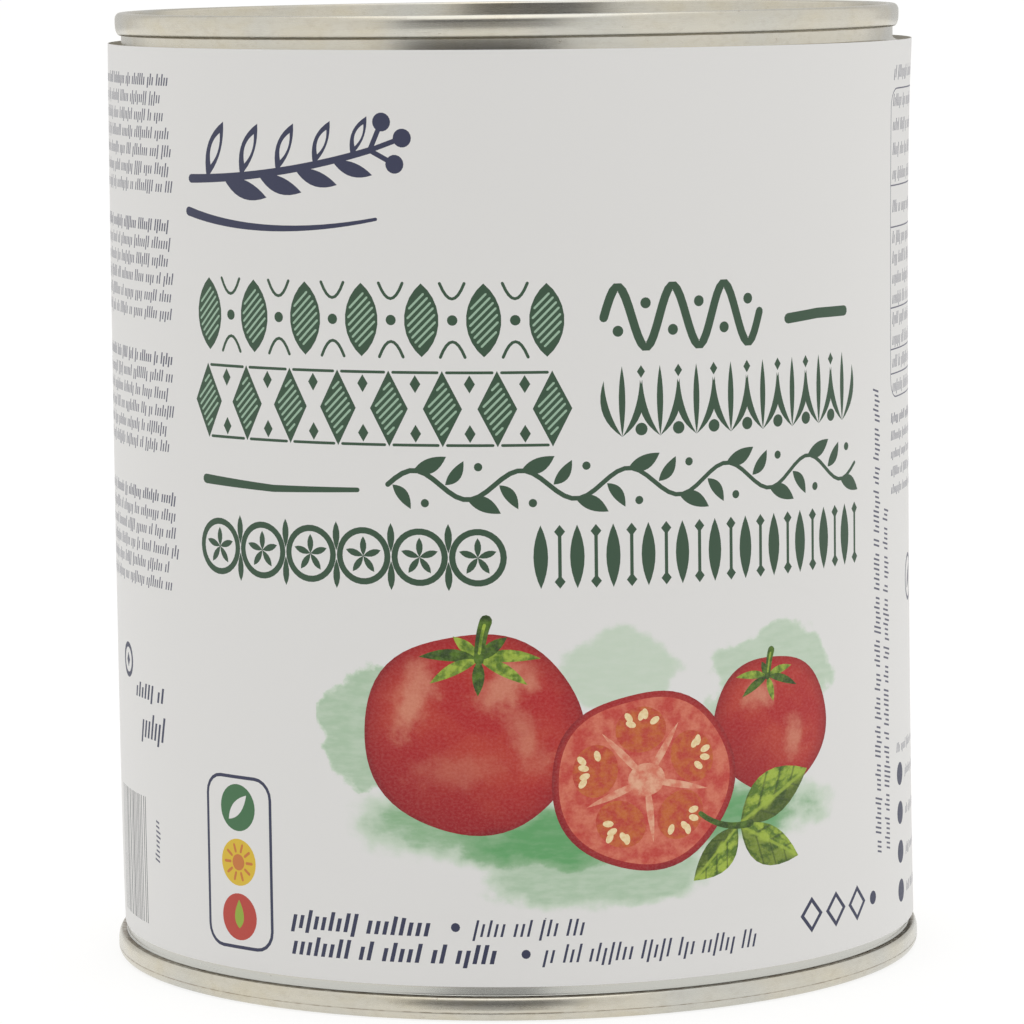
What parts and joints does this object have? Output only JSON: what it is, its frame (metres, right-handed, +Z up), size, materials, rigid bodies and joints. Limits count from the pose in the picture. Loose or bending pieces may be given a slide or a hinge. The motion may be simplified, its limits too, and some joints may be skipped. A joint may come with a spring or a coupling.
{
  "type": "tin of tomatoes",
  "caption": "Shut steel food tin with a necked-in top, rolled double seams, pressed ends with ring beads and a wrap-round printed paper label.",
  "frame": {"origin": "centre of the tin's foot, on the plane it stands on", "axes": "+Z up along the tin's axis; -Y towards the side of the label that the picture shows"},
  "size_m": [0.1014, 0.1014, 0.118],
  "materials": {
    "tinplate": "satin",
    "end_plate": "satin",
    "paper": "satin"
  },
  "bodies": {
    "root": {"can_body": "tinplate", "top_end": "end_plate", "bottom_end": "end_plate", "label": "paper"}
  },
  "joints": []
}
